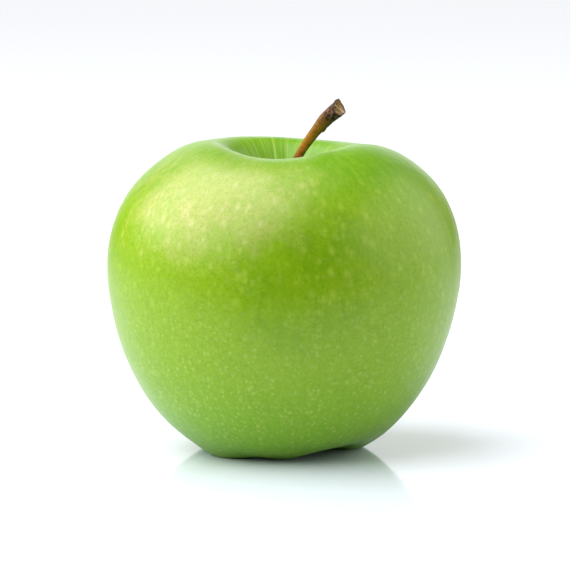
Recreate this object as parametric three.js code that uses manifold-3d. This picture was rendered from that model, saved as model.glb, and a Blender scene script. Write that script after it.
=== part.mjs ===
// A green apple standing on the feet round its eye, with its stalk in the crown and the dried
// flower still in the base: five sepals round a tuft of withered stamens.
// Millimetres, +Z up. The origin is on the table, under the middle of the fruit.

import * as THREE from 'three';
import { mergeVertices } from 'three/addons/utils/BufferGeometryUtils.js';
import Module from 'manifold-3d';

const wasm = await Module();
wasm.setup();

// ---------------------------------------------------------------- driving dimensions

// Half outline of the fruit as [distance from the axis, height], from the stalk cavity over the
// shoulder and the cheek to the eye. The skin is the smooth curve that these points pull on.
const OUTLINE = [
  [0, 53.5],                      // floor of the stalk cavity
  [5, 55.5],
  [10.5, 63.5],                   // cavity wall
  [14.5, 68.2],                   // crown
  [23.3, 67.1],
  [30.7, 63.6],                   // shoulder
  [37.1, 56.7],
  [40.9, 44],                     // cheek, at its widest
  [39, 29.8],
  [33.8, 15.7],                   // lower cheek, drawn in
  [24.9, 4.1],
  [15.5, 0.2],                    // rim round the eye
  [9, 1.8],
  [5.5, 8],                       // basin wall
  [0, 9.5],                       // floor of the eye basin
];

// Lobes as [angle round the axis from +X in degrees, size]. A crown lobe lifts the shoulder and
// a foot reaches down beside the eye, one for each seed chamber.
const CROWN_LOBES = [[-163, 2.7], [-101, -0.1], [-29, 2.7], [50, 0.45], [120, 1.65]];
const CROWN = { middle: 0.24, reach: 0.11, sharpness: 3 };
const FEET = [[-143, 4.4], [-88, 2.5], [7, 3.9], [66, 4], [144, 3.9]];
const FOOT = { middle: 0.804, reach: 0.064, sharpness: 9 };
const VALLEY = 1.7;               // how far the rim of the eye lies above the feet
const SETTLE = 0.4;               // height over which a foot rounds into the flat it stands on
const LEAN = 0.01;                // sideways run of the axis for each millimetre of height
const MIDDLE_HEIGHT = 40;
const FULLER = 2;                 // how much further the shoulder swells on the +X side

const FRUIT_AROUND = 60;
const FRUIT_ALONG = 42;

// Stalk: the line of its middle, and its radius at stations from the foot to the broken end.
const STALK_LINE = [
  [0, 0, 54.8],
  [0.9, 0, 60.5],
  [3.3, -0.2, 66.8],
  [6.9, -0.6, 72.3],
  [9.9, -1.1, 75.8],
  [12.3, -1.7, 77.9],
];
const STALK_RADII = [
  [0, 1.45],
  [0.08, 1.15],
  [0.3, 0.95],
  [0.5, 0.95],
  [0.7, 1.17],
  [0.86, 1.6],
  [1, 1.75],
];
const STALK_END = { faces: [0.72, -0.58, 0.38], rim: 0.75, dish: 0.6, bottom: 0.3 };
const STALK_AROUND = 18;
const STALK_STEPS = 22;
const BUD_SCAR = { along: 0.772, angle: 0, size: 0.5, reach: 0.03 };

// Dried calyx in the eye basin.
const SEPALS = 5;
const SEPAL = { ring: 3.1, top: 8, length: 6.2, width: 3.1, thick: 0.5, curl: 2.8, tip: 0.25 };
const TUFT = { radius: 1.3, thick: 0.7, top: 8.55, threads: 7, length: 4.2, thread: 0.2, splay: 12 };

// ---------------------------------------------------------------- materials

const skin = new THREE.MeshStandardMaterial({ color: 0x8cc03c, roughness: 0.35, metalness: 0 });
const bark = new THREE.MeshStandardMaterial({ color: 0x7a5a34, roughness: 0.75, metalness: 0 });
const driedLeaf = new THREE.MeshStandardMaterial({ color: 0x6e5a3a, roughness: 0.85, metalness: 0 });
const driedThread = new THREE.MeshStandardMaterial({ color: 0x4a3826, roughness: 0.9, metalness: 0 });

// ---------------------------------------------------------------- helpers

const radians = THREE.MathUtils.degToRad;

// The closed geometry with its doubled vertices joined and each vertex moved by place(vertex).
function reshape(geometry, place) {
  geometry.deleteAttribute('normal');
  geometry.deleteAttribute('uv');
  const joined = mergeVertices(geometry, 1e-5);
  const position = joined.getAttribute('position');
  const vertex = new THREE.Vector3();
  for (let i = 0; i < position.count; i += 1) {
    vertex.fromBufferAttribute(position, i);
    const moved = place(vertex.clone());
    position.setXYZ(i, moved.x, moved.y, moved.z);
  }
  joined.computeVertexNormals();
  return joined;
}

function solid(geometry) {
  const joined = reshape(geometry, (vertex) => vertex);
  return new wasm.Manifold(new wasm.Mesh({
    numProp: 3,
    vertProperties: new Float32Array(joined.getAttribute('position').array),
    triVerts: new Uint32Array(joined.getIndex().array),
  }));
}

function fromSolid(body) {
  const mesh = body.getMesh();
  const geometry = new THREE.BufferGeometry();
  geometry.setAttribute('position', new THREE.BufferAttribute(mesh.vertProperties, 3));
  geometry.setIndex(new THREE.BufferAttribute(mesh.triVerts, 1));
  geometry.computeVertexNormals();
  return geometry;
}

// A smooth bell, 1 at its middle and fading over its reach.
const bell = (value, middle, reach) => Math.exp(-(((value - middle) / reach) ** 2));

// The sum of rounded lobes at an angle round the axis.
function lobesAt(angle, lobes, sharpness) {
  let sum = 0;
  for (const [degrees, size] of lobes) {
    sum += size * Math.exp(sharpness * (Math.cos(angle - radians(degrees)) - 1));
  }
  return sum;
}

// ---------------------------------------------------------------- fruit

// Point of the half outline, with t from 0 in the stalk cavity to 1 in the eye: a uniform cubic
// B-spline, mirrored across the axis at both ends so that the skin crosses it level.
function outlineAt(t) {
  const last = OUTLINE.length - 1;
  const first = Math.min(Math.floor(t * last), last - 1);
  const f = t * last - first;
  const weights = [(1 - f) ** 3, 3 * f ** 3 - 6 * f ** 2 + 4, -3 * f ** 3 + 3 * f ** 2 + 3 * f + 1, f ** 3];
  let radius = 0;
  let height = 0;
  weights.forEach((weight, k) => {
    const index = first + k - 1;
    const inside = last - Math.abs(last - Math.abs(index));
    const side = index === inside ? 1 : -1;
    radius += (side * weight * OUTLINE[inside][0]) / 6;
    height += (weight * OUTLINE[inside][1]) / 6;
  });
  return [radius, height];
}

// Height of a point once the fruit stands: no lower than the table, with a rounded edge.
function settled(height) {
  if (height >= SETTLE) {
    return height;
  }
  return Math.max(height + SETTLE, 0) ** 2 / (4 * SETTLE);
}

// Point of the skin. The feet would reach below the table, and they are flat where they meet it.
function skinPoint(t, angle) {
  const [radius, base] = outlineAt(t);
  const crown = bell(t, CROWN.middle, CROWN.reach) * lobesAt(angle, CROWN_LOBES, CROWN.sharpness);
  const feet = bell(t, FOOT.middle, FOOT.reach) * (VALLEY - lobesAt(angle, FEET, FOOT.sharpness));
  const height = base + crown + feet;
  const lean = LEAN * (height - MIDDLE_HEIGHT);
  const rise = Math.max(0, height / MIDDLE_HEIGHT - 1);
  const fuller = FULLER * (rise * Math.max(0, Math.cos(angle))) ** 2 * (radius / MIDDLE_HEIGHT);
  return new THREE.Vector3(
    radius * Math.cos(angle) + lean + fuller,
    radius * Math.sin(angle),
    settled(height),
  );
}

function makeFruit() {
  const ball = new THREE.SphereGeometry(1, FRUIT_AROUND, FRUIT_ALONG);
  ball.rotateX(Math.PI / 2);
  return reshape(ball, (vertex) => {
    const t = Math.acos(THREE.MathUtils.clamp(vertex.z, -1, 1)) / Math.PI;
    return skinPoint(t, Math.atan2(vertex.y, vertex.x));
  });
}

// ---------------------------------------------------------------- stalk

const stalkCurve = new THREE.CatmullRomCurve3(STALK_LINE.map((point) => new THREE.Vector3(...point)));
const endFacing = new THREE.Vector3(...STALK_END.faces).normalize();

function stalkRadius(along) {
  const next = Math.max(1, STALK_RADII.findIndex(([station]) => station >= along));
  const [fromStation, fromRadius] = STALK_RADII[next - 1];
  const [toStation, toRadius] = STALK_RADII[next];
  const share = THREE.MathUtils.smoothstep(along, fromStation, toStation);
  return THREE.MathUtils.lerp(fromRadius, toRadius, share);
}

// The straight turned stalk, bent along its line. Its dished end slants away from the line.
function makeStalk() {
  const length = stalkCurve.getLength();
  const profile = [new THREE.Vector2(0, 0)];
  for (let step = 0; step <= STALK_STEPS; step += 1) {
    const along = step / STALK_STEPS;
    profile.push(new THREE.Vector2(stalkRadius(along), along * length));
  }
  const [, endRadius] = STALK_RADII[STALK_RADII.length - 1];
  profile.push(new THREE.Vector2(endRadius * STALK_END.rim, length));
  profile.push(new THREE.Vector2(endRadius * STALK_END.bottom, length - STALK_END.dish));
  profile.push(new THREE.Vector2(0, length - STALK_END.dish));
  const turned = new THREE.LatheGeometry(profile, STALK_AROUND);
  turned.rotateX(Math.PI / 2);
  return reshape(turned, (vertex) => {
    const along = THREE.MathUtils.clamp(vertex.z / length, 0, 1);
    const tangent = stalkCurve.getTangentAt(along);
    const forward = new THREE.Vector3(0, 1, 0).addScaledVector(tangent, -tangent.y).normalize();
    const side = new THREE.Vector3().crossVectors(forward, tangent);
    const angle = Math.atan2(vertex.y, vertex.x);
    const scar = bell(along, BUD_SCAR.along, BUD_SCAR.reach) * lobesAt(angle, [[BUD_SCAR.angle, 1]], 4);
    const swell = 1 + BUD_SCAR.size * scar;
    const offset = new THREE.Vector3()
      .addScaledVector(side, vertex.x * swell)
      .addScaledVector(forward, vertex.y * swell);
    const slide = (-offset.dot(endFacing) / tangent.dot(endFacing)) * along ** 8;
    return stalkCurve.getPointAt(along)
      .add(offset)
      .addScaledVector(tangent, slide + vertex.z - along * length);
  });
}

// ---------------------------------------------------------------- calyx

// A withered leaf that hangs from the basin floor and curls outward at its tip.
function makeSepal(turn) {
  const slab = new THREE.BoxGeometry(1, 1, 1, 3, 6, 1);
  return reshape(slab, (vertex) => {
    const along = 0.5 - vertex.y;
    const taper = THREE.MathUtils.lerp(1, SEPAL.tip, along ** 1.5);
    const across = vertex.x * SEPAL.width * taper;
    const cupped = (across * across) / (2 * SEPAL.ring);
    const outward = SEPAL.ring + SEPAL.curl * along ** 2 - cupped + vertex.z * SEPAL.thick * taper;
    const down = SEPAL.top - SEPAL.length * along * (1 - 0.25 * along);
    const place = new THREE.Vector3(outward, across, down);
    return place.applyAxisAngle(new THREE.Vector3(0, 0, 1), turn);
  });
}

// Withered threads on a small cushion, joined into one piece.
function makeStamens() {
  const cushion = new THREE.CylinderGeometry(TUFT.radius, TUFT.radius * 0.8, TUFT.thick, 14);
  cushion.rotateX(Math.PI / 2);
  cushion.translate(0, 0, TUFT.top - TUFT.thick / 2);
  let tuft = solid(cushion);
  for (let k = 0; k < TUFT.threads; k += 1) {
    const thread = new THREE.CylinderGeometry(TUFT.thread, TUFT.thread * 1.6, TUFT.length, 6);
    thread.translate(0, -TUFT.length / 2, 0);
    thread.rotateX(Math.PI / 2);
    const share = k === 0 ? 0 : 1;
    thread.rotateY(radians(-TUFT.splay * share));
    thread.translate(TUFT.radius * 0.55 * share, 0, TUFT.top - TUFT.thick / 2);
    thread.rotateZ((2 * Math.PI * k) / (TUFT.threads - 1));
    tuft = tuft.add(solid(thread));
  }
  return fromSolid(tuft);
}

// ---------------------------------------------------------------- assembly

const apple = new THREE.Group();

function addPiece(name, geometry, material) {
  const piece = new THREE.Mesh(geometry, material);
  piece.name = name;
  apple.add(piece);
}

addPiece('fruit', makeFruit(), skin);
addPiece('stem', makeStalk(), bark);
for (let k = 0; k < SEPALS; k += 1) {
  addPiece(`sepal_${k + 1}`, makeSepal((2 * Math.PI * (k + 0.3)) / SEPALS), driedLeaf);
}
addPiece('stamens', makeStamens(), driedThread);

export default apple;
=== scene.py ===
# %% [markdown]
# # A green apple
#
# An apple is four kinds of thing: a waxy fruit, a woody stalk, five dried sepals and a tuft of
# withered stamens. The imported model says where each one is. Here every one of them is made again
# as a fine mesh with the relief and the colours of the real thing.
#
# Everything is in metres, and sizes that are easier to read in millimetres are multiplied by MM.

import math
import random

import bmesh
import bpy
import numpy as np
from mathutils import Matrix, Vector, noise


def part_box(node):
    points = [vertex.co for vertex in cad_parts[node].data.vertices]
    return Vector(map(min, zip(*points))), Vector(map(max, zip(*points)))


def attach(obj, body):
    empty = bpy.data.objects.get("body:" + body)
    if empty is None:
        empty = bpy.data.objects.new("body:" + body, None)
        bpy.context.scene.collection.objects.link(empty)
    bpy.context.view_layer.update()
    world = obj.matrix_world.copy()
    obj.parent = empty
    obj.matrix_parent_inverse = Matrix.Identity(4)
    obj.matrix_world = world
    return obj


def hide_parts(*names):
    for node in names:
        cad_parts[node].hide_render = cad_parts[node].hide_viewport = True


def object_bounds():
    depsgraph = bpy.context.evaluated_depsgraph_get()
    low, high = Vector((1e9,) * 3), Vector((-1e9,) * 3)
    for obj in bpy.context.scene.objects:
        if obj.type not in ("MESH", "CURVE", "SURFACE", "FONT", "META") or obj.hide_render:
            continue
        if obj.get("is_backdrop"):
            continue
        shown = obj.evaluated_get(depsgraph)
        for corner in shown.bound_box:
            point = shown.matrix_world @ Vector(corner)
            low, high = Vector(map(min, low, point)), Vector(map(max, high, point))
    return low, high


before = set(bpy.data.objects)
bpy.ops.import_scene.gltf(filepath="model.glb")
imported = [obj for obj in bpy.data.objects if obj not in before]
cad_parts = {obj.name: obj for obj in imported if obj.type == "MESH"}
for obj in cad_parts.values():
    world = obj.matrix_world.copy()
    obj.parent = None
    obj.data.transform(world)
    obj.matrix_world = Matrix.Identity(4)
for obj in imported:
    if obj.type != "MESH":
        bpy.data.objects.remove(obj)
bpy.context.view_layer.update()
MM = 0.001
SEPALS = sorted(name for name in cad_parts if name.startswith("sepal_"))
print("nodes:", ", ".join(sorted(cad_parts)))


# %% [markdown]
# ## Small tools
#
# A closed surface here is always a grid that is wrapped round an axis: rings of points from one
# end of the axis to the other, with one point at each end. One function joins such rings into a
# mesh, so each piece only has to say where its points are. The faces look out when the points of a
# ring go round as a screw turns while it is driven the way the rings are strung. The volume tells
# whether they do: it is negative when they look in.

# %% Rings of points into a closed mesh
def closed_mesh(name, first, rings, last):
    """A mesh from a first point, rings with equal numbers of points, and a last point."""
    count, around = rings.shape[:2]
    points = np.concatenate([[first], rings.reshape(-1, 3), [last]])
    step = np.arange(around)
    after = (step + 1) % around
    faces = [(0, 1 + b, 1 + a) for a, b in zip(step, after)]
    for ring in range(count - 1):
        low = 1 + ring * around
        high = low + around
        faces += [(low + a, low + b, high + b, high + a) for a, b in zip(step, after)]
    end = 1 + (count - 1) * around
    faces += [(end + a, end + b, end + around) for a, b in zip(step, after)]
    mesh = bpy.data.meshes.new(name)
    mesh.from_pydata(points.tolist(), [], faces)
    mesh.shade_smooth()
    mesh.validate()
    return mesh


def volume_of(mesh):
    """The volume inside a closed mesh in cubic millimetres. It is negative if the faces look in."""
    mesh.calc_loop_triangles()
    points = np.empty(len(mesh.vertices) * 3)
    mesh.vertices.foreach_get("co", points)
    corners = np.empty(len(mesh.loop_triangles) * 3, dtype=np.int32)
    mesh.loop_triangles.foreach_get("vertices", corners)
    a, b, c = points.reshape(-1, 3)[corners.reshape(-1, 3)].transpose(1, 0, 2)
    return (a * np.cross(b, c)).sum() / 6 / MM**3


def add_piece(name, mesh, *nodes):
    """The mesh as a piece on the fruit's body that stands for the given nodes."""
    piece = bpy.data.objects.new(name, mesh)
    bpy.context.scene.collection.objects.link(piece)
    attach(piece, "root")
    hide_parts(*nodes)
    print(f"{name}: {len(mesh.polygons)} faces, {volume_of(mesh):.1f} cubic mm")
    return piece


def store(mesh, name, values):
    """A number for each point of the mesh, for its material to read."""
    layer = mesh.attributes.new(name, "FLOAT", "POINT")
    layer.data.foreach_set("value", np.asarray(values, dtype=np.float32).ravel())


def bell(value, middle, reach):
    """1 at the middle, fading smoothly over the reach."""
    return np.exp(-(((value - middle) / reach) ** 2))


def noise_at(points, scale, detail=1):
    """Smooth noise between about -1 and 1 at each point, with finer octaves if detail > 1."""
    return np.array([
        noise.fractal(Vector(point) * scale, 1.0, 2.0, detail) for point in points.reshape(-1, 3)
    ]).reshape(points.shape[:-1])


# %% [markdown]
# ## The fruit's shape
#
# Half the outline of an apple is one smooth curve: it starts on the floor of the stalk cavity,
# climbs over the crown, runs round the cheek and dips into the eye. A lathe would turn it into a
# perfectly round fruit, and a real one is never that. It has five seed chambers, and each pushes
# out a foot beside the eye and most of them a low lobe on the crown. So the outline gives a height
# at every angle, and rounded lobes are added to it. Below the table the feet are cut off flat, with a
# rounded edge, as soft skin settles under its weight.

# %% The outline, the lobes and the feet
OUTLINE = np.array([
    [0, 53.5], [5, 55.5], [10.5, 63.5],
    [14.5, 68.2], [23.3, 67.1], [30.7, 63.6],
    [37.1, 56.7], [40.9, 44], [39, 29.8], [33.8, 15.7],
    [24.9, 4.1], [15.5, 0.2], [9, 1.8], [5.5, 8], [0, 9.5],
])
CROWN_LOBES = [(-163, 2.7), (-101, -0.1), (-29, 2.7), (50, 0.45), (120, 1.65)]
CROWN = {"middle": 0.24, "reach": 0.11, "sharpness": 3}
FEET = [(-143, 4.4), (-88, 2.5), (7, 3.9), (66, 4), (144, 3.9)]
FOOT = {"middle": 0.804, "reach": 0.064, "sharpness": 9}
VALLEY = 1.7
SETTLE = 0.4
LEAN = 0.01
MIDDLE_HEIGHT = 40
FULLER = 2


def outline_at(t):
    """Distance from the axis and height on the smooth outline, for t from stalk to eye."""
    last = len(OUTLINE) - 1
    mirrored = np.array([-1, 1])
    pulls = np.vstack([OUTLINE[1] * mirrored, OUTLINE, OUTLINE[-2] * mirrored])
    first = np.minimum((t * last).astype(int), last - 1)
    f = (t * last - first)[..., None]
    weights = [(1 - f) ** 3, 3 * f**3 - 6 * f**2 + 4, -3 * f**3 + 3 * f**2 + 3 * f + 1, f**3]
    spot = sum(weight * pulls[first + k] for k, weight in enumerate(weights)) / 6
    return spot[..., 0], spot[..., 1]


def lobes_at(angle, lobes, sharpness):
    """The sum of rounded lobes at an angle round the axis."""
    return sum(
        size * np.exp(sharpness * (np.cos(angle - math.radians(degrees)) - 1))
        for degrees, size in lobes
    )


def settled(height):
    """The height once the fruit stands: no lower than the table, with a rounded edge."""
    return np.where(height >= SETTLE, height, np.maximum(height + SETTLE, 0) ** 2 / (4 * SETTLE))


def skin_point(t, angle):
    """Point of the skin in millimetres."""
    radius, base = outline_at(t)
    crown = bell(t, CROWN["middle"], CROWN["reach"]) * lobes_at(angle, CROWN_LOBES, CROWN["sharpness"])
    feet = bell(t, FOOT["middle"], FOOT["reach"]) * (VALLEY - lobes_at(angle, FEET, FOOT["sharpness"]))
    height = base + crown + feet
    lean = LEAN * (height - MIDDLE_HEIGHT)
    rise = np.maximum(0, height / MIDDLE_HEIGHT - 1)
    fuller = FULLER * (rise * np.maximum(0, np.cos(angle))) ** 2 * (radius / MIDDLE_HEIGHT)
    x = radius * np.cos(angle) + lean + fuller
    y = radius * np.sin(angle)
    return np.stack([x, y, settled(height)], axis=-1)


# %% [markdown]
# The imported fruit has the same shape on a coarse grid. Its box sets the scale, so the fine skin
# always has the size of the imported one. Low swellings and shallow dents are then pushed along the
# skin's own outward direction. They change the size by a fraction of a millimetre at most, and they
# are what makes a reflection wander on a fruit instead of running straight.

# %% The fine skin
SKIN_AROUND = 384
SKIN_ALONG = 236
SWELLINGS = [(0.045, 0.30), (0.11, 0.10), (0.3, 0.03)]
CAVITY_RIPPLES = {"count": 23, "height": 0.12, "middle": 0.13, "reach": 0.05}
RIPPLE_WANDER = {"turn": 3, "scale": 0.06}
FULL_RELIEF_FROM = 3

fruit_low, fruit_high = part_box("fruit")
t_rings = np.linspace(0, 1, SKIN_ALONG + 1)[1:-1]
angles = np.linspace(0, 2 * math.pi, SKIN_AROUND, endpoint=False)
t_grid, angle_grid = np.meshgrid(t_rings, angles, indexing="ij")
skin = skin_point(t_grid, angle_grid)
fit = (fruit_high.x - fruit_low.x) / (np.ptp(skin[..., 0]) * MM)
print("scale to the packed fruit:", round(fit, 4))


def outward(points):
    """The unit direction out of a wrapped grid at each of its points."""
    along = np.gradient(points, axis=0)
    around = np.roll(points, -1, axis=1) - np.roll(points, 1, axis=1)
    facing = np.cross(around, along) * -1
    return facing / np.linalg.norm(facing, axis=-1, keepdims=True)


relief = sum(height * noise_at(skin, scale) for scale, height in SWELLINGS)
wander = RIPPLE_WANDER["turn"] * noise_at(skin, RIPPLE_WANDER["scale"])
ripples = np.sin(CAVITY_RIPPLES["count"] * angle_grid + wander)
in_cavity = bell(t_grid, CAVITY_RIPPLES["middle"], CAVITY_RIPPLES["reach"])
relief += CAVITY_RIPPLES["height"] * ripples * in_cavity
standing = np.clip(skin[..., 2] / FULL_RELIEF_FROM, 0, 1)
skin_out = outward(skin)
skin = skin + skin_out * (relief * standing)[..., None]
ends = skin_point(np.array([0.0, 1.0]), np.array([0.0, 0.0]))
from_eye = skin[::-1] * MM * fit
skin_mesh = closed_mesh("apple_skin", ends[1] * MM * fit, from_eye, ends[0] * MM * fit)
apple_skin = add_piece("apple_skin", skin_mesh, "fruit")


# %% [markdown]
# ## The stalk's shape
#
# A stalk is a twig: thin and round where it leaves the fruit, thicker towards the knob that once
# held it to the tree. It bends as it grows, so a straight cone is no use. Its middle line is a
# smooth curve through a few points, and rings of changing radius are strung along it. The knob
# broke off on a slant, so the last rings tip until they lie in the plane of the break.

# %% The stalk's middle line
STALK_LINE = np.array([
    [0, 0, 54.8], [0.9, 0, 60.5], [3.3, -0.2, 66.8],
    [6.9, -0.6, 72.3], [9.9, -1.1, 75.8], [12.3, -1.7, 77.9],
])
STALK_RADII = np.array([
    [0, 1.45], [0.08, 1.15], [0.3, 0.95], [0.5, 0.95], [0.7, 1.17], [0.86, 1.6], [1, 1.75],
])
BREAK_FACES = np.array([0.72, -0.58, 0.38])
STALK_RINGS = 170
STALK_AROUND = 96


def curve_through(points, share):
    """Places on the smooth curve through the points, for shares of its chord length."""
    chords = np.concatenate([[0], np.cumsum(np.linalg.norm(np.diff(points, axis=0), axis=1))])
    slopes = np.gradient(points, chords, axis=0)
    at = share * chords[-1]
    k = np.clip(np.searchsorted(chords, at, side="right") - 1, 0, len(points) - 2)
    width = (chords[k + 1] - chords[k])[:, None]
    f = (at - chords[k])[:, None] / width
    start = (1 + 2 * f) * (1 - f) ** 2 * points[k] + f * (1 - f) ** 2 * width * slopes[k]
    return start + f**2 * (3 - 2 * f) * points[k + 1] + f**2 * (f - 1) * width * slopes[k + 1]


def unit(vectors):
    return vectors / np.linalg.norm(vectors, axis=-1, keepdims=True)


def eased(value, stations):
    """Smooth steps between [station, value] pairs."""
    k = np.clip(np.searchsorted(stations[:, 0], value, side="right") - 1, 0, len(stations) - 2)
    f = (value - stations[k, 0]) / (stations[k + 1, 0] - stations[k, 0])
    f = f * f * (3 - 2 * f)
    return stations[k, 1] * (1 - f) + stations[k + 1, 1] * f


stalk_share = np.linspace(0, 1, STALK_RINGS)
stalk_middle = curve_through(STALK_LINE, stalk_share)
stalk_ahead = unit(np.gradient(stalk_middle, axis=0))
forward = np.array([0, 1, 0]) - stalk_ahead * stalk_ahead[:, 1:2]
stalk_forward = unit(forward)
stalk_side = np.cross(stalk_forward, stalk_ahead)
stalk_length = np.linalg.norm(np.diff(stalk_middle, axis=0), axis=1).sum()
print("stalk length in mm:", round(stalk_length, 1))


# %% [markdown]
# Bark on a stalk this thin is fibres that run along it, with fine cracks across them. Where a bud
# sat there is a small raised scar. The knob is lumpy, and one of its lobes stands out on the low
# side. These go into the radius, so they show in the outline too.

# %% The stalk's side
BUD_SCAR = {"along": 0.772, "along_reach": 0.022, "angle_reach": 0.42, "height": 0.42}
SCAR_PIT = {"along": 0.772 + 0.004, "along_reach": 0.008, "angle_reach": 0.2, "depth": 0.16}
SCAR_ANGLE = math.radians(8)
KNOB_LOBES = [(38, 0.42, 9), (142, 0.34, 20), (88, -0.08, 14), (-95, 0.16, 16), (-150, -0.06, 10)]
FIBRE = 0.045
CRACK = 0.02
KNOB = 0.22
KNOB_START = 0.86
KNOB_LENGTH = 0.14
THREE_SIDED = {"height": 0.07, "turn": 0.6, "from": 0.5, "length": 0.4}

stalk_angle = np.linspace(0, 2 * math.pi, STALK_AROUND, endpoint=False)
along, around = np.meshgrid(stalk_share, stalk_angle, indexing="ij")
distance = along * stalk_length


def stalk_noise(across, lengthwise, detail=1, shift=0.0):
    """Noise on the stalk, with its own scale round it and along it."""
    x = np.cos(around) * across
    y = np.sin(around) * across
    return noise_at(np.stack([x, y, distance * lengthwise + shift], -1), 1.0, detail)


def turn_from(angle, middle):
    """The signed turn from the middle angle, between -pi and pi."""
    return (angle - middle + math.pi) % (2 * math.pi) - math.pi


def scar_spot(shape):
    """1 in the middle of a spot where the bud sat, fading out along the stalk and round it."""
    lengthwise = bell(along, shape["along"], shape["along_reach"])
    return lengthwise * bell(turn_from(around, SCAR_ANGLE), 0, shape["angle_reach"])


knobby = np.clip((along - KNOB_START) / KNOB_LENGTH, 0, 1) ** 2
scar = scar_spot(BUD_SCAR)
scar_pit = scar_spot(SCAR_PIT)
three_sided = np.clip((along - THREE_SIDED["from"]) / THREE_SIDED["length"], 0, 1)
radius = eased(along, STALK_RADII)
radius = radius + FIBRE * stalk_noise(2.2, 0.22, 2) + CRACK * stalk_noise(1.2, 3.2, 2, 9.0)
radius += THREE_SIDED["height"] * np.cos(3 * around + THREE_SIDED["turn"]) * three_sided
radius += BUD_SCAR["height"] * scar - SCAR_PIT["depth"] * scar_pit
for degrees, height, sharpness in KNOB_LOBES:
    radius += height * knobby * np.exp(sharpness * (np.cos(around - math.radians(degrees)) - 1))
radius += KNOB * knobby * stalk_noise(2.4, 1.3, 3, 4.0)


# %% [markdown]
# The break itself is a dish with a pale ridge of wood right across it, a deeper hollow on one side
# and a shallow one on the other. It is made of more rings, from the rim to the centre, that move
# in and out of the plane of the break.

# %% The broken end
BREAK_RINGS = 26
LAST_RING = 0.03
BREAK_RIM = {"height": 0.16, "middle": 0.9, "reach": 0.08}
BREAK_DISH = {"depth": 0.42, "slope": 0.35}
BREAK_GRAIN = {"height": 0.11, "scale": 2.2}
RIDGE = {"height": 0.5, "half_width": 0.14, "ends": 0.95, "slope": 0.2}
RIDGE_ALONG = np.array([0.65, 0.37, -0.66])
HOLLOW = {"depth": 0.6, "offset": 0.62, "reach": 0.42, "along": -0.25, "along_reach": 0.8}

break_facing = unit(BREAK_FACES)
offset = (
    stalk_side[:, None] * (radius * np.cos(around))[..., None]
    + stalk_forward[:, None] * (radius * np.sin(around))[..., None]
)
tip = (along**8)[..., None]
slide = -(offset @ break_facing) / (stalk_ahead @ break_facing)[:, None]
stalk_side_rings = stalk_middle[:, None] + offset + stalk_ahead[:, None] * slide[..., None] * tip

ridge_line = unit(RIDGE_ALONG - break_facing * (RIDGE_ALONG @ break_facing))
ridge_across = np.cross(break_facing, ridge_line)
rim = stalk_side_rings[-1] - stalk_middle[-1]
inward = np.linspace(1, LAST_RING, BREAK_RINGS)[1:]
flat = rim[None] * inward[:, None, None]
lengthwise = flat @ ridge_line
crosswise = flat @ ridge_across
ridge = bell(crosswise, 0, RIDGE["half_width"]) * (inward[:, None] < RIDGE["ends"])
hollow = bell(crosswise, HOLLOW["offset"], HOLLOW["reach"])
hollow = hollow * bell(lengthwise, HOLLOW["along"], HOLLOW["along_reach"])
dish = BREAK_RIM["height"] * bell(inward, BREAK_RIM["middle"], BREAK_RIM["reach"])
dish = dish - BREAK_DISH["depth"] * np.clip((1 - inward) / BREAK_DISH["slope"], 0, 1)
ridge_rise = np.clip((1 - inward) / RIDGE["slope"], 0, 1)[:, None]
depth = dish[:, None] + RIDGE["height"] * ridge * ridge_rise
depth = depth - HOLLOW["depth"] * hollow + BREAK_GRAIN["height"] * noise_at(flat, BREAK_GRAIN["scale"], 3)
break_rings = stalk_middle[-1] + flat + break_facing * depth[..., None]

stalk_rings = np.concatenate([stalk_side_rings, break_rings])
foot = stalk_middle[0]
centre = break_rings[-1].mean(axis=0)
stalk_mesh = closed_mesh("stalk", foot * MM * fit, stalk_rings * MM * fit, centre * MM * fit)
stalk = add_piece("stalk", stalk_mesh, "stem")


def with_ends(side, end, first, last):
    """A value for every point of the stalk: its foot, its sides, the break and the centre."""
    return np.concatenate([[first], side.ravel(), end.ravel(), [last]])


PALE_LOBE = {"side_turn": 40, "side_sharpness": 9, "end_turn": 30, "end_sharpness": 7}
PALE_LOBE_ON_END = {"middle": 0.66, "reach": 0.2}
WEATHERED = {"side_from": 0.965, "side_length": 0.03, "end_from": 0.78, "end_length": 0.14}
SHADED_TURN = math.radians(15)

no_side = np.zeros_like(along)
no_end = np.zeros_like(lengthwise)
store(stalk_mesh, "along", with_ends(along, no_end + 1, 0, 1))
store(stalk_mesh, "broken", with_ends(no_side, no_end + 1, 0, 1))
store(stalk_mesh, "ridge", with_ends(no_side, ridge, 0, 1))
store(stalk_mesh, "hollow", with_ends(no_side, hollow, 0, 0))
store(stalk_mesh, "scar", with_ends(scar, no_end, 0, 0))
lobe_facing = np.cos(around - math.radians(PALE_LOBE["side_turn"])) - 1
lobe_spot = np.exp(PALE_LOBE["side_sharpness"] * lobe_facing) * knobby
end_facing = np.cos(stalk_angle - math.radians(PALE_LOBE["end_turn"])) - 1
lobe_end = np.exp(PALE_LOBE["end_sharpness"] * end_facing)[None]
lobe_end = lobe_end * bell(inward, PALE_LOBE_ON_END["middle"], PALE_LOBE_ON_END["reach"])[:, None]
store(stalk_mesh, "pale_lobe", with_ends(lobe_spot, lobe_end, 0, 0))
rim_side = np.clip((along - WEATHERED["side_from"]) / WEATHERED["side_length"], 0, 1)
rim_end = np.clip((inward[:, None] - WEATHERED["end_from"]) / WEATHERED["end_length"], 0, 1) + no_end
store(stalk_mesh, "rim", with_ends(rim_side, rim_end, 0, 0))
# Painted shade: marks both flanks, the stalk's edges seen from the front, for darkening.
store(stalk_mesh, "flank_shade", with_ends(np.abs(np.cos(around)) ** 5, no_end, 0, 0))
# The shaded side: its dark olive green is partly real colour, partly painted shade.
shaded_side = 0.5 + 0.5 * np.cos(around - SHADED_TURN)
store(stalk_mesh, "green_shaded_side", with_ends(shaded_side, no_end, 0, 0))


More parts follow.
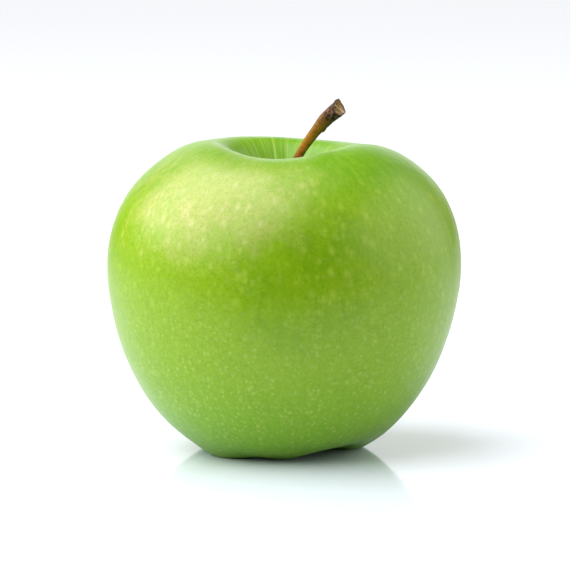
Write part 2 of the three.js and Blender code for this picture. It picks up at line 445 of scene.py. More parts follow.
# %% [markdown]
# ## The dried calyx
#
# Under the fruit, the five sepals of the flower are still there. They dried, thickened along
# their midrib and curled outward at the tip. Each one is a lens-shaped loop that is carried down
# its length while it narrows. The box of each packed sepal says which way from the core it hangs.

# %% Sepals
SEPAL = {"ring": 3.1, "top": 8.0, "length": 6.2, "width": 3.1, "thick": 0.5, "curl": 2.8, "tip": 0.12}
FRILL = {"height": 0.14, "waves": 9}
WRINKLE = 0.07
SEPAL_RINGS = 40
SEPAL_LOOP = 36


def sepal_rings(turn, seed):
    """Loops down one sepal in millimetres, curled outward, with a midrib and a frilled edge."""
    chance = random.Random(seed)
    loop_turns = np.linspace(0, 2 * math.pi, SEPAL_LOOP, endpoint=False)
    down, loop = np.meshgrid(np.linspace(0, 1, SEPAL_RINGS), loop_turns, indexing="ij")
    taper = 1 + (SEPAL["tip"] - 1) * down**1.5
    across = np.cos(loop) * SEPAL["width"] / 2 * taper
    thick = np.sin(loop) * SEPAL["thick"] / 2 * taper * (0.55 + 0.45 * bell(np.cos(loop), 0, 0.3))
    waves = np.sin(FRILL["waves"] * down + chance.uniform(0, 6))
    frill = FRILL["height"] * waves * np.cos(loop) ** 2 * down
    wrinkle = WRINKLE * noise_at(np.stack([across * 2.5, thick, down * 3 + seed], -1), 1.0, 2)
    cupped = across**2 / (2 * SEPAL["ring"])
    curl = SEPAL["curl"] * chance.uniform(0.85, 1.0)
    out = SEPAL["ring"] + curl * down**2 - cupped + thick + frill + wrinkle
    height = SEPAL["top"] - SEPAL["length"] * down * (1 - 0.25 * down)
    x = out * math.cos(turn) - across * math.sin(turn)
    y = out * math.sin(turn) + across * math.cos(turn)
    return np.stack([x, y, height], -1), down


sepals = []
for seed, node in enumerate(SEPALS):
    low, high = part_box(node)
    turn = math.atan2(low.y + high.y, low.x + high.x)
    rings, down = sepal_rings(turn, seed)
    mesh = closed_mesh(node + "_leaf", rings[0].mean(0) * MM, rings * MM, rings[-1].mean(0) * MM)
    store(mesh, "along", np.concatenate([[0], down.ravel(), [1]]))
    sepal = add_piece(node + "_leaf", mesh, node)
    sepals.append(sepal)


# %% [markdown]
# Between the sepals sit the remains of the stamens: brown threads on a small cushion, two in three
# with a shrivelled anther near the end. They grow close together, so they are made as one piece.

# %% Stamens
TUFT = {"radius": 1.25, "thick": 0.6, "top": 8.5, "threads": 19, "thread": 0.13, "length": (2.6, 4.2)}
THREAD_RINGS = 14
THREAD_LOOP = 8
THREAD_TURN = 2.4
ANTHER = {"radius": 0.16, "middle": 0.93, "reach": 0.07}
chance = random.Random(5)


def tube(middle, radii, loop=THREAD_LOOP):
    """Rings of the given radii round a line of points, all in planes across the z axis."""
    turn = np.linspace(0, 2 * math.pi, loop, endpoint=False)
    ring = np.stack([np.cos(turn), np.sin(turn), np.zeros(loop)], -1)
    return middle[:, None] + ring[None] * radii[:, None, None]


tuft_parts = []
cushion_share = np.linspace(0, 1, 9)
cushion_radii = TUFT["radius"] * np.sqrt(np.clip(1 - (2 * cushion_share - 1) ** 4, 0.02, 1))
cushion_height = TUFT["top"] - TUFT["thick"] * cushion_share
cushion_line = np.stack([0 * cushion_share, 0 * cushion_share, cushion_height], -1)
tuft_parts.append(tube(cushion_line, cushion_radii, 24))
for k in range(TUFT["threads"]):
    turn = THREAD_TURN * k
    root = TUFT["radius"] * 0.72 * math.sqrt((k + 0.5) / TUFT["threads"])
    lean = 0.25 * root + chance.uniform(-0.03, 0.06)
    length = chance.uniform(*TUFT["length"])
    share = np.linspace(0, 1, THREAD_RINGS)
    bend = root + lean * share * length * 0.6 + 0.12 * np.sin(4 * share + k)
    line = np.stack([
        bend * np.cos(turn + 0.25 * share),
        bend * np.sin(turn + 0.25 * share),
        TUFT["top"] - TUFT["thick"] * 0.6 - share * length,
    ], -1)
    anther = ANTHER["radius"] * bell(share, ANTHER["middle"], ANTHER["reach"]) if k % 3 else 0
    tuft_parts.append(tube(line, TUFT["thread"] * (1 - 0.4 * share) + anther))

tuft_meshes = []
for k, rings in enumerate(tuft_parts):
    piece = closed_mesh(f"thread_{k}", rings[0].mean(0) * MM, rings * MM, rings[-1].mean(0) * MM)
    tuft_meshes.append(piece)

joined = bmesh.new()
for mesh in tuft_meshes:
    joined.from_mesh(mesh)
    bpy.data.meshes.remove(mesh)
bmesh.ops.recalc_face_normals(joined, faces=joined.faces)
tuft_mesh = bpy.data.meshes.new("stamen_tuft")
joined.to_mesh(tuft_mesh)
joined.free()
tuft_mesh.shade_smooth()
stamen_tuft = add_piece("stamen_tuft", tuft_mesh, "stamens")


# %% [markdown]
# ## Tools for materials
#
# A material is a tree of nodes. These helpers add one node with its inputs set or wired in a
# single line, so that the trees below read like a recipe.

# %% Helpers for node trees
def linear(red, green, blue):
    """A linear colour from everyday 0 to 255 values."""
    def one(value):
        value /= 255
        return value / 12.92 if value <= 0.04045 else ((value + 0.055) / 1.055) ** 2.4
    return (one(red), one(green), one(blue), 1)


def add(tree, kind, inputs=None, **settings):
    """A new node: its settings, and its inputs as values or as sockets to wire in."""
    made = tree.nodes.new("ShaderNode" + kind)
    for name, value in settings.items():
        setattr(made, name, value)
    for key, value in (inputs or {}).items():
        if isinstance(value, bpy.types.NodeSocket):
            tree.links.new(value, made.inputs[key])
        else:
            made.inputs[key].default_value = value
    return made


def maths(tree, operation, *values):
    return add(tree, "Math", dict(enumerate(values)), operation=operation).outputs[0]


def vectors(tree, operation, *values):
    return add(tree, "VectorMath", dict(enumerate(values)), operation=operation).outputs[0]


def fade(tree, value, start, end, low=0.0, high=1.0):
    """A smooth change from low to high while the value goes from start to end."""
    inputs = {"Value": value, "From Min": start, "From Max": end, "To Min": low, "To Max": high}
    return add(tree, "MapRange", inputs, interpolation_type="SMOOTHSTEP").outputs["Result"]


def blend(tree, share, first, second):
    """The second colour over the first, by a share."""
    mix = add(tree, "Mix", data_type="RGBA", clamp_factor=True)
    for socket, value in zip((mix.inputs[0], mix.inputs[6], mix.inputs[7]), (share, first, second)):
        if isinstance(value, bpy.types.NodeSocket):
            tree.links.new(value, socket)
        else:
            socket.default_value = value
    return mix.outputs[2]


def noise_node(tree, place, scale, detail=2.0, roughness=0.5):
    inputs = {"Vector": place, "Scale": scale, "Detail": detail, "Roughness": roughness}
    return add(tree, "TexNoise", inputs).outputs["Fac"]


def own_mask(tree, name):
    """A number that the mesh holds at each point."""
    return add(tree, "Attribute", attribute_name=name).outputs["Fac"]


def new_group(name, inputs, outputs):
    """An empty shader node group with named sockets, its input node and its output node."""
    group = bpy.data.node_groups.new(name, "ShaderNodeTree")
    for label, kind, value in inputs:
        socket = group.interface.new_socket(label, in_out="INPUT", socket_type=kind)
        if value is not None:
            socket.default_value = value
    for label, kind in outputs:
        group.interface.new_socket(label, in_out="OUTPUT", socket_type=kind)
    return group, group.nodes.new("NodeGroupInput").outputs, group.nodes.new("NodeGroupOutput")


def use_group(tree, group, **inputs):
    """The group placed in a tree. Spaces in its sockets' names are written as underscores."""
    node = tree.nodes.new("ShaderNodeGroup")
    node.node_tree = group
    for key, value in inputs.items():
        socket = node.inputs[key.replace("_", " ")]
        if isinstance(value, bpy.types.NodeSocket):
            tree.links.new(value, socket)
        else:
            socket.default_value = value
    return node.outputs


def new_material(name, *pieces):
    """A material with its tree and its Principled shader, given to the pieces."""
    material = bpy.data.materials.new(name)
    material.use_nodes = True
    for piece in pieces:
        piece.data.materials.append(material)
    return material.node_tree, material.node_tree.nodes["Principled BSDF"]


FLOAT = "NodeSocketFloat"
VECTOR = "NodeSocketVector"


# %% [markdown]
# ### Round the core
#
# Everything on an apple's skin follows its meridians: the streaks run from stalk to eye, and the
# spots are drawn out the same way where the fruit swelled most. So the patterns are laid out round
# the core instead of in plain space. This group turns a place on the fruit into a turn round the
# core and a distance from stalk to eye, both in millimetres of cheek, with no seam anywhere. It also
# gives the share of the way from stalk to eye, and the direction straight out of the core's middle.

# %% Group: round the core
CORE_HEIGHT = 0.038
CHEEK = 40.0

round_core, given, result = new_group(
    "round the core", [("Place", VECTOR, None)], [("Wrapped", VECTOR), ("Polar", FLOAT), ("Away", VECTOR)]
)
links = round_core.links
from_core = vectors(round_core, "SUBTRACT", given["Place"], (0, 0, CORE_HEIGHT))
parts = add(round_core, "SeparateXYZ", {0: from_core}).outputs
level = add(round_core, "CombineXYZ", {0: parts[0], 1: parts[1]}).outputs[0]
turn_direction = add(round_core, "VectorMath", {0: level}, operation="NORMALIZE").outputs[0]
away = add(round_core, "VectorMath", {0: level}, operation="LENGTH").outputs["Value"]
polar = maths(round_core, "ARCTAN2", away, parts[2])
flat_turn = add(round_core, "VectorMath", {0: turn_direction, "Scale": CHEEK}, operation="SCALE").outputs[0]
lift = add(round_core, "CombineXYZ", {2: maths(round_core, "MULTIPLY", polar, CHEEK)}).outputs[0]
links.new(vectors(round_core, "ADD", flat_turn, lift), result.inputs["Wrapped"])
links.new(maths(round_core, "DIVIDE", polar, math.pi), result.inputs["Polar"])
out_of_core = add(round_core, "VectorMath", {0: from_core}, operation="NORMALIZE").outputs[0]
links.new(out_of_core, result.inputs["Away"])


# %% [markdown]
# ### Spots
#
# The pale spots are lenticels, the pores that the fruit breathes through. Near the eye they are
# fine and close together, and towards the crown they are wide, soft and far apart. A Voronoi
# texture scatters points, and the distance to the nearest one makes a round spot. Each point also
# has random numbers, which make some spots larger and some fainter.

# %% Group: pores
pores, given, result = new_group(
    "pores",
    [("Wrapped", VECTOR, None), ("Spacing", FLOAT, 2.0), ("Size", FLOAT, 0.4), ("Drawn Out", FLOAT, 1.0)],
    [("Spots", FLOAT), ("Cores", FLOAT)],
)
links = pores.links
squeeze = maths(pores, "DIVIDE", 1.0, given["Drawn Out"])
stretch = add(pores, "CombineXYZ", {0: 1.0, 1: 1.0, 2: squeeze}).outputs[0]
drawn = vectors(pores, "MULTIPLY", given["Wrapped"], stretch)
wobble = noise_node(pores, given["Wrapped"], 0.7)
wobbly = vectors(pores, "ADD", drawn, add(pores, "CombineXYZ", {0: wobble, 1: wobble, 2: wobble}).outputs[0])
scatter = add(pores, "TexVoronoi", {
    "Vector": wobbly, "Scale": maths(pores, "DIVIDE", 1.0, given["Spacing"]),
}, normalize=False)
gap = maths(pores, "MULTIPLY", scatter.outputs["Distance"], given["Spacing"])
luck = add(pores, "SeparateColor", {0: scatter.outputs["Color"]}).outputs
own_size = maths(pores, "MULTIPLY", given["Size"], fade(pores, luck[0], 0.0, 1.0, 0.6, 1.2))
strength = fade(pores, luck[1], 0.1, 0.9, 0.15, 1.0)
links.new(maths(pores, "MULTIPLY", fade(pores, gap, own_size, 0.0), strength), result.inputs["Spots"])
links.new(fade(pores, gap, maths(pores, "MULTIPLY", own_size, 0.35), 0.0), result.inputs["Cores"])


# %% [markdown]
# ### Grain
#
# Skin, bark and dried leaf are all uneven at several sizes at once. This group mixes a broad and a
# fine noise by a share.

# %% Group: grain
grain, given, result = new_group(
    "grain",
    [
        ("Place", VECTOR, None), ("Broad Scale", FLOAT, 1.0),
        ("Fine Scale", FLOAT, 6.0), ("Fine Share", FLOAT, 0.4),
    ],
    [("Grain", FLOAT)],
)
broad = noise_node(grain, given["Place"], given["Broad Scale"], 2)
fine = noise_node(grain, given["Place"], given["Fine Scale"], 3, 0.6)
difference = maths(grain, "SUBTRACT", fine, broad)
grain.links.new(maths(grain, "MULTIPLY_ADD", difference, given["Fine Share"], broad), result.inputs["Grain"])


# %% [markdown]
# ### Apple skin: the ground colours
#
# The skin is a thin layer of wax over green cells, and its green is never one colour. The upper
# left cheek is pale and warm: partly the real sunny cheek, partly a painted highlight that
# strengthens the key lamp's glow. The middle of the front is a deeper green, a painted shade for the
# dark band that it mirrors. The crown and the base are richer and darker. The direction out of the
# core says where the two cheeks are, and the way from stalk to eye says where the crown and the base
# are. A broad mottling is added before it fades, so that the borders are uneven, like washes of
# watercolour.

# %% Skin: ground colours
GREEN = linear(138, 177, 3)
# Painted shade: a deeper green for the dark band across the front.
BAND_SHADE_GREEN = linear(116, 160, 0)
BASE_GREEN = linear(98, 155, 0)
# Pale warm green of the sunny cheek: partly its real colour, partly a painted highlight.
SUN_AND_HIGHLIGHT_GREEN = linear(186, 188, 96)
CROWN_GREEN = linear(102, 156, 6)
SUN_AND_HIGHLIGHT_CHEEK = {"toward": (-0.36, -0.55, 0.75), "from": 0.73, "to": 1.03}
BAND_SHADE_SIDE = {"toward": (0.1, -0.97, 0.2), "from": 0.84, "to": 1.06}

tree, shader = new_material("apple_skin", apple_skin)
place = add(tree, "TexCoord").outputs["Object"]
core = use_group(tree, round_core, Place=place)
wrapped, polar = core["Wrapped"], core["Polar"]
mottling = use_group(tree, grain, Place=wrapped, Broad_Scale=0.12, Fine_Scale=0.5, Fine_Share=0.4)["Grain"]
uneven = maths(tree, "MULTIPLY_ADD", mottling, 0.5, -0.25)


def on_cheek(cheek):
    """1 in the middle of one side of the fruit, fading out with an uneven border."""
    toward = unit(np.array(cheek["toward"])).tolist()
    facing = add(tree, "VectorMath", {0: core["Away"], 1: toward}, operation="DOT_PRODUCT").outputs["Value"]
    return fade(tree, maths(tree, "ADD", facing, uneven), cheek["from"], cheek["to"])


# Painted shade: the middle of the front is darkened where the dark band lies.
colour = blend(tree, on_cheek(BAND_SHADE_SIDE), GREEN, BAND_SHADE_GREEN)
colour = blend(tree, fade(tree, polar, 0.56, 0.88, 0.0, 0.9), colour, BASE_GREEN)
# The sunny cheek lies where the key lamp's glow falls, so it also carries a painted highlight.
sun_and_highlight = on_cheek(SUN_AND_HIGHLIGHT_CHEEK)
colour = blend(tree, sun_and_highlight, colour, SUN_AND_HIGHLIGHT_GREEN)
crown = maths(tree, "MULTIPLY", fade(tree, polar, 0.36, 0.24), fade(tree, sun_and_highlight, 1.0, 0.0, 0.35, 0.9))
colour = blend(tree, crown, colour, CROWN_GREEN)
colour = blend(tree, fade(tree, polar, 0.27, 0.18, 0.0, 0.75), colour, CROWN_GREEN)


# %% [markdown]
# ### Apple skin: streaks and speckle
#
# Close up, the green breaks into cells: a dark speckle half a millimetre across, and paler streaks
# that run from stalk to eye. Squeezing the pattern's height before the noise is what draws the
# streaks out. Without these two the skin looks like painted plastic.

# %% Skin: streaks and speckle
STREAK = linear(152, 188, 34)
DARK_GREEN = linear(92, 142, 0)
STREAK_SQUEEZE = (1.0, 1.0, 0.3)

streaks_at = vectors(tree, "MULTIPLY", wrapped, STREAK_SQUEEZE)
streaks = use_group(tree, grain, Place=streaks_at, Broad_Scale=0.5, Fine_Scale=1.4, Fine_Share=0.5)["Grain"]
speckle = use_group(tree, grain, Place=wrapped, Broad_Scale=1.1, Fine_Scale=2.6, Fine_Share=0.65)["Grain"]
colour = blend(tree, fade(tree, streaks, 0.42, 0.62, 0.0, 0.22), colour, STREAK)
colour = blend(tree, fade(tree, speckle, 0.55, 0.38, 0.0, 0.36), colour, DARK_GREEN)


# %% [markdown]
# ### Apple skin: pores
#
# The upper half gets the wide, soft pores, which turn cream on the sunny cheek: partly their real
# bleaching, partly a painted highlight that whitens the key lamp's glow there. The lower half gets
# the fine ones. Each kind fades where the other takes over, though the fine ones never go entirely,
# and the wide ones are weaker near the stalk, where the skin hardly stretched.

# %% Skin: pores
PORE = linear(198, 216, 112)
WIDE_PORE = linear(184, 208, 76)
# Cream of the wide pores on the sunny cheek: partly real bleaching, partly a painted highlight.
SUN_AND_HIGHLIGHT_PORE = linear(228, 214, 172)
WIDE_PORE_SHARE = 0.44
FINE_PORE_SHARE = 0.27
FINE_PORE_LEAST = 0.08

fine_pores = use_group(tree, pores, Wrapped=wrapped, Spacing=1.2, Size=0.8, Drawn_Out=1.0)
wide_pores = use_group(tree, pores, Wrapped=wrapped, Spacing=1.9, Size=1.2, Drawn_Out=1.3)
near_stalk = fade(tree, polar, 0.2, 0.36, 0.3, 1.0)
upper = maths(tree, "MULTIPLY", fade(tree, polar, 0.64, 0.42), near_stalk)
lower = fade(tree, polar, 0.36, 0.66)
wide_share = maths(tree, "MULTIPLY", wide_pores["Spots"], maths(tree, "MULTIPLY", upper, WIDE_PORE_SHARE))
# On the sunny cheek the wide pores add a painted highlight as well as their own colour.
colour = blend(tree, wide_share, colour, blend(tree, sun_and_highlight, WIDE_PORE, SUN_AND_HIGHLIGHT_PORE))
fine_most = maths(tree, "MULTIPLY_ADD", lower, FINE_PORE_SHARE, FINE_PORE_LEAST)
fine_share = maths(tree, "MULTIPLY", fine_pores["Spots"], fine_most)
colour = blend(tree, fine_share, colour, PORE)


# %% [markdown]
# ### Apple skin: cavity and eye
#
# Inside the crown cavity the skin is painted a deeper green, a painted shade of the hollow, with pale
# ribs that run down to the stalk. The pattern's height is squeezed to nothing here, so a rib keeps
# its place round the core all the way down. Round the stalk's foot is a little rust, and the skin
# pales again in the basin of the eye.

# %% Skin: cavity and eye
PAINTED_CAVITY_SHADE = linear(92, 134, 6)
RIB = linear(166, 194, 78)
RUST = linear(132, 112, 52)
CAVITY_SHADE_SHARE = 0.12
EYE_SHARE = 0.7

cavity = fade(tree, polar, 0.2, 0.12)
# Painted shade: the cavity is darkened to a deeper green.
colour = blend(tree, maths(tree, "MULTIPLY", cavity, CAVITY_SHADE_SHARE), colour, PAINTED_CAVITY_SHADE)
ribs_at = vectors(tree, "MULTIPLY", wrapped, (1.0, 1.0, 0.0))
ribs = use_group(tree, grain, Place=ribs_at, Broad_Scale=0.42, Fine_Scale=1.3, Fine_Share=0.5)["Grain"]
rib_share = maths(tree, "MULTIPLY", cavity, fade(tree, ribs, 0.45, 0.64, 0.0, 0.6))
colour = blend(tree, rib_share, colour, RIB)
rust_share = maths(tree, "MULTIPLY", fade(tree, polar, 0.06, 0.015), fade(tree, mottling, 0.3, 0.6))
colour = blend(tree, rust_share, colour, RUST)
eye_share = maths(tree, "MULTIPLY", fade(tree, polar, 0.93, 0.98), EYE_SHARE)
colour = blend(tree, eye_share, colour, RIB)


# %% [markdown]
# ### Apple skin: relief and gloss
#
# The wax is smooth but not a mirror: a grain a third of a millimetre wide scatters a highlight
# into a soft glow with a fine sparkle in it. A wide pore stands a little proud and a fine one is a
# pinprick. A thin coat gives the wax its second, softer gloss, and a little light passes through
# the skin and comes back out green, which keeps the shaded side from going flat.

# %% Skin: relief and gloss
PORE_RISE = 0.8
PINPRICK = -0.5

skin_grain = use_group(tree, grain, Place=wrapped, Broad_Scale=1.3, Fine_Scale=3.6, Fine_Share=0.6)["Grain"]
height = maths(tree, "MULTIPLY_ADD", wide_share, PORE_RISE, skin_grain)
height = maths(tree, "MULTIPLY_ADD", fine_pores["Cores"], PINPRICK, height)
bump = add(tree, "Bump", {"Strength": 0.75, "Distance": 0.0001, "Height": height})

tree.links.new(colour, shader.inputs["Base Color"])
tree.links.new(bump.outputs[0], shader.inputs["Normal"])
tree.links.new(fade(tree, skin_grain, 0.3, 0.7, 0.27, 0.36), shader.inputs["Roughness"])
shader.inputs["Specular IOR Level"].default_value = 0.34
shader.inputs["Coat Weight"].default_value = 0.05
shader.inputs["Coat Roughness"].default_value = 0.2
shader.inputs["Subsurface Weight"].default_value = 0.1
shader.inputs["Subsurface Radius"].default_value = (0.004, 0.005, 0.001)
shader.inputs["Subsurface Scale"].default_value = 0.5
print("skin nodes:", len(tree.nodes))


# %% [markdown]
# ### Stalk bark
#
# Near the fruit the bark is thin and orange-brown, then it turns golden and, towards the knob, grey
# brown. A ramp along the twig sets that. The side that faces down and to the right, away from the
# key lamp, is dark olive green: partly the stalk's real green, partly painted shade. Pale and dark
# flecks break the colour up, fine dark cracks run across it, and both flanks, the stalk's edges as
# seen from the front, are darkened with painted shade.

# %% Bark: the twig
BARK = [
    (0.0, linear(96, 66, 16)), (0.44, linear(152, 82, 6)), (0.56, linear(168, 106, 6)),
    (0.68, linear(166, 112, 6)), (0.8, linear(148, 102, 34)), (0.92, linear(112, 76, 44)),
]
SHADED_SIDE_GREEN = linear(76, 80, 2)
FLECK_PALE = linear(190, 140, 84)
FLECK_DARK = linear(48, 28, 6)
CRACK_DARK = linear(66, 40, 12)
FLANK_SHADE = linear(52, 34, 14)
CRACKS_ROUND = 1.5
CRACKS_ALONG = 40.0


def place_in_mm(tree):
    """The place on the object, in millimetres."""
    place = add(tree, "TexCoord").outputs["Object"]
    return add(tree, "VectorMath", {0: place, "Scale": 1 / MM}, operation="SCALE").outputs[0]


tree, shader = new_material("stalk_bark", stalk)
in_mm = place_in_mm(tree)
twig_along = own_mask(tree, "along")
bark_grain = use_group(tree, grain, Place=in_mm, Broad_Scale=0.5, Fine_Scale=2.6, Fine_Share=0.5)["Grain"]
bark_colours = add(tree, "ValToRGB", {0: twig_along})
ramp = bark_colours.color_ramp.elements
for spot, _ in BARK[2:]:
    ramp.new(spot)
for element, (spot, bark) in zip(ramp, BARK):
    element.position = spot
    element.color = bark
colour = bark_colours.outputs[0]

# Dark olive green on the shaded side: partly the stalk's real green, partly painted shade.
green_shaded_side_mask = own_mask(tree, "green_shaded_side")
green_shade_share = maths(tree, "MULTIPLY", fade(tree, green_shaded_side_mask, 0.5, 0.88), fade(tree, bark_grain, 0.3, 0.55))
colour = blend(tree, green_shade_share, colour, SHADED_SIDE_GREEN)
colour = blend(tree, fade(tree, bark_grain, 0.54, 0.74, 0.0, 0.5), colour, FLECK_PALE)
colour = blend(tree, fade(tree, bark_grain, 0.47, 0.32, 0.0, 0.6), colour, FLECK_DARK)
crack_turn = maths(tree, "MULTIPLY", green_shaded_side_mask, CRACKS_ROUND)
crack_rise = maths(tree, "MULTIPLY", twig_along, CRACKS_ALONG)
cracks_at = add(tree, "CombineXYZ", {0: crack_turn, 2: crack_rise}).outputs[0]
cracks = use_group(tree, grain, Place=cracks_at, Broad_Scale=0.8, Fine_Scale=2.4, Fine_Share=0.5)["Grain"]
colour = blend(tree, fade(tree, cracks, 0.5, 0.36, 0.0, 0.55), colour, CRACK_DARK)
# Painted shade darkens both flanks of the stalk.
colour = blend(tree, fade(tree, own_mask(tree, "flank_shade"), 0.35, 1.0, 0.0, 0.6), colour, FLANK_SHADE)


# %% [markdown]
# The knob is patchy, from near black to mauve, where the bark healed and dried. The break shows
# tan wood with a cream ridge across it, a hollow on one side painted dark brown as painted shade, and
# a pale lobe on the other.
# Its rim has weathered as dark as the bark. The masks for all of these were stored on the mesh.

# %% Bark: the knob and the break
KNOB_BLACK = linear(38, 24, 26)
KNOB_MAUVE = linear(140, 96, 116)
SCAR_GREY = linear(150, 158, 120)
WOOD = (linear(112, 74, 32), linear(196, 156, 98))
HOLLOW_SHADE_BROWN = linear(64, 42, 18)
LOBE_PALE = linear(214, 184, 164)
RIDGE_CREAM = linear(255, 236, 186)
RIM_BROWN = linear(66, 50, 40)

near_knob = fade(tree, twig_along, 0.84, 0.93)
blotches = noise_node(tree, in_mm, 1.5, 2)
black_share = maths(tree, "MULTIPLY", near_knob, fade(tree, blotches, 0.5, 0.56))
colour = blend(tree, black_share, colour, KNOB_BLACK)
mauve_share = maths(tree, "MULTIPLY", near_knob, fade(tree, blotches, 0.45, 0.38, 0.0, 0.85))
colour = blend(tree, mauve_share, colour, KNOB_MAUVE)
colour = blend(tree, own_mask(tree, "scar"), colour, SCAR_GREY)

wood = blend(tree, fade(tree, bark_grain, 0.4, 0.6), *WOOD)
# Painted shade: the hollow in the break is painted dark brown.
wood = blend(tree, own_mask(tree, "hollow"), wood, HOLLOW_SHADE_BROWN)
wood = blend(tree, own_mask(tree, "pale_lobe"), wood, LOBE_PALE)
wood = blend(tree, own_mask(tree, "ridge"), wood, RIDGE_CREAM)
colour = blend(tree, own_mask(tree, "broken"), colour, wood)
colour = blend(tree, maths(tree, "MULTIPLY", own_mask(tree, "rim"), 0.85), colour, RIM_BROWN)

bump = add(tree, "Bump", {"Strength": 0.6, "Distance": 0.0002, "Height": bark_grain})
tree.links.new(colour, shader.inputs["Base Color"])
tree.links.new(bump.outputs[0], shader.inputs["Normal"])
tree.links.new(fade(tree, bark_grain, 0.3, 0.7, 0.55, 0.8), shader.inputs["Roughness"])
shader.inputs["Specular IOR Level"].default_value = 0.25
print("bark nodes:", len(tree.nodes))


# %% [markdown]
# ### Dried sepals and stamens
#
# Both are withered to brown. The sepals are mottled with a dull grey-green and darken toward the
# tip. The threads are darkest low down, where they end. The two materials are one recipe with
# different colours, so a small function makes both.

# %% Materials: sepals and stamens
def withered(name, pieces, broad_scale, fine_scale, colours, dark, dark_share, depth):
    """A dry, matt material: a grain between two colours, darkened by a share that it works out."""
    tree, shader = new_material(name, *pieces)
    in_mm = place_in_mm(tree)
    scales = {"Broad_Scale": broad_scale, "Fine_Scale": fine_scale}
    dry = use_group(tree, grain, Place=in_mm, **scales, Fine_Share=0.5)["Grain"]
    colour = blend(tree, fade(tree, dry, 0.35, 0.65), *colours)
    colour = blend(tree, dark_share(tree, in_mm), colour, dark)
    bump = add(tree, "Bump", {"Strength": 0.7, "Distance": depth, "Height": dry})
    tree.links.new(colour, shader.inputs["Base Color"])
    tree.links.new(bump.outputs[0], shader.inputs["Normal"])
    tree.links.new(fade(tree, dry, 0.3, 0.7, 0.7, 0.95), shader.inputs["Roughness"])


def toward_tip(tree, _):
    """The share that darkens a sepal. It follows the length, so the place isn't used."""
    return fade(tree, own_mask(tree, "along"), 0.45, 1.0, 0.0, 0.85)


def low_down(tree, in_mm):
    """The share that darkens a thread, by its height above the table."""
    return fade(tree, add(tree, "SeparateXYZ", {0: in_mm}).outputs[2], 6.0, 4.3, 0.0, 0.8)


LEAF = (linear(86, 66, 36), linear(140, 128, 86))
THREAD = (linear(60, 40, 22), linear(112, 84, 48))
LEAF_DARK = linear(52, 36, 20)
THREAD_DARK = linear(34, 24, 16)
withered("dried_sepal", sepals, 0.9, 5.0, LEAF, LEAF_DARK, toward_tip, 0.0002)
withered("dried_stamens", [stamen_tuft], 1.5, 7.0, THREAD, THREAD_DARK, low_down, 0.0001)


# %% [markdown]
# ## The table
#
# The fruit stands on a pale, polished board. It is nearly white, so it throws light back up under
# the cheeks, and its polish mirrors the feet. It ends a little in front of the fruit. The middle
# of the fruit mirrors the dark that begins there, and that is the dark band across its belly.

# %% Table
TABLE = {"side": 1.5, "front": -0.125, "back": 2.5}

table_mesh = bpy.data.meshes.new("table")
corners = [
    (-TABLE["side"], TABLE["front"], 0), (TABLE["side"], TABLE["front"], 0),
    (TABLE["side"], TABLE["back"], 0), (-TABLE["side"], TABLE["back"], 0),
]
table_mesh.from_pydata(corners, [], [(0, 1, 2, 3)])
table = bpy.data.objects.new("table", table_mesh)
bpy.context.scene.collection.objects.link(table)
table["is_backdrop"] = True
tree, shader = new_material("table", table)
shader.inputs["Base Color"].default_value = (0.82, 0.87, 0.97, 1)
shader.inputs["Roughness"].default_value = 0.08
shader.inputs["Specular IOR Level"].default_value = 0.18


# %% [markdown]
# ## The camera
#
# A long lens from a little above the fruit, far enough away that its outline hardly narrows. The
# camera sits straight in front, a few degrees up, and looks at about the middle of the fruit. From
# there the near lip of the crown hides the foot of the stalk and the cavity shows as a thin bowl.

# %% Camera
VIEW = {"distance": 1.2, "rise": math.radians(8.3), "centre": 0.036, "lens": 335.4}
AIM = Vector((0.0002, 0, 0.0374))

camera_data = bpy.data.cameras.new("camera")
camera_data.sensor_width = 36
camera_data.lens = VIEW["lens"]
camera_data.clip_start = 0.05
camera = bpy.data.objects.new("camera", camera_data)
bpy.context.scene.collection.objects.link(camera)
bpy.context.scene.camera = camera
back = VIEW["distance"] * math.cos(VIEW["rise"])
up = VIEW["distance"] * math.sin(VIEW["rise"])
eye = Vector((0, -back, VIEW["centre"] + up))
camera.location = eye
camera.rotation_euler = (AIM - eye).to_track_quat("-Z", "Y").to_euler()
print("camera at:", [round(value, 3) for value in eye])


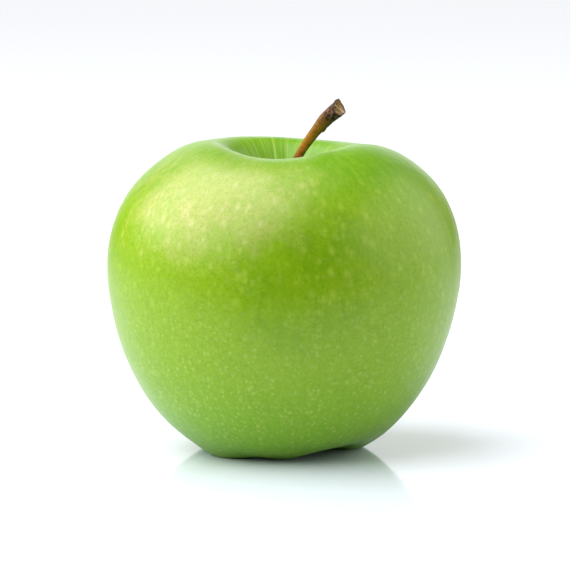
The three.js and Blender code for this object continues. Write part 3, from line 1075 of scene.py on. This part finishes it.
# %% [markdown]
# ## The light
#
# A glossy round thing shows its whole room, so the room is built of a few large soft lamps in the
# dark. The key lamp on the left makes the broad glow on the shoulder, the side lamp fills the right
# cheek, the top one opens the crown and the low backdrop gives the far edges a bright rim. The
# world is white where the camera looks straight at it, and almost black for everything else.

# %% Light
WORLD_SEEN = 1.0
WORLD_FELT = 0.05
LAMP_CENTRE = Vector((0, 0, 0.04))

world = bpy.data.worlds.new("studio")
bpy.context.scene.world = world
world.use_nodes = True
sky = world.node_tree
to_camera = add(sky, "LightPath").outputs["Is Camera Ray"]
strength = maths(sky, "MULTIPLY_ADD", to_camera, WORLD_SEEN, WORLD_FELT)
sky.links.new(strength, sky.nodes["Background"].inputs["Strength"])
sky.nodes["Background"].inputs["Color"].default_value = (1, 1, 1, 1)


def softbox(name, turn, rise, distance, size, radiance):
    """A flat lamp that faces the fruit, placed by its turn and its rise, in degrees."""
    data = bpy.data.lights.new(name, "AREA")
    data.shape = "RECTANGLE"
    data.size, data.size_y = size
    data.energy = radiance * math.pi * size[0] * size[1]
    lamp = bpy.data.objects.new(name, data)
    bpy.context.scene.collection.objects.link(lamp)
    turn, rise = math.radians(turn), math.radians(rise)
    way = Vector((math.cos(rise) * math.cos(turn), math.cos(rise) * math.sin(turn), math.sin(rise)))
    lamp.location = LAMP_CENTRE + way * distance
    lamp.rotation_euler = (-way).to_track_quat("-Z", "Y").to_euler()
    lamp.visible_camera = False
    print(f"{name}: {data.energy:.1f} W")


softbox("key", turn=192, rise=52, distance=0.75, size=(1.3, 1.15), radiance=3.8)
softbox("side", turn=4, rise=24, distance=0.75, size=(1.3, 0.7), radiance=1.6)
softbox("top", turn=90, rise=86, distance=0.8, size=(0.8, 0.8), radiance=0.35)
softbox("backdrop", turn=90, rise=11, distance=2.2, size=(1.6, 1.3), radiance=1.25)
bpy.context.scene.view_settings.view_transform = "Standard"


# %% [markdown]
# ## The size of the pieces
#
# The box round all the pieces is printed in millimetres.

# %% The size of the pieces
low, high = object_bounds()
print("fine model in mm:", [round((top - bottom) / MM, 1) for bottom, top in zip(low, high)])
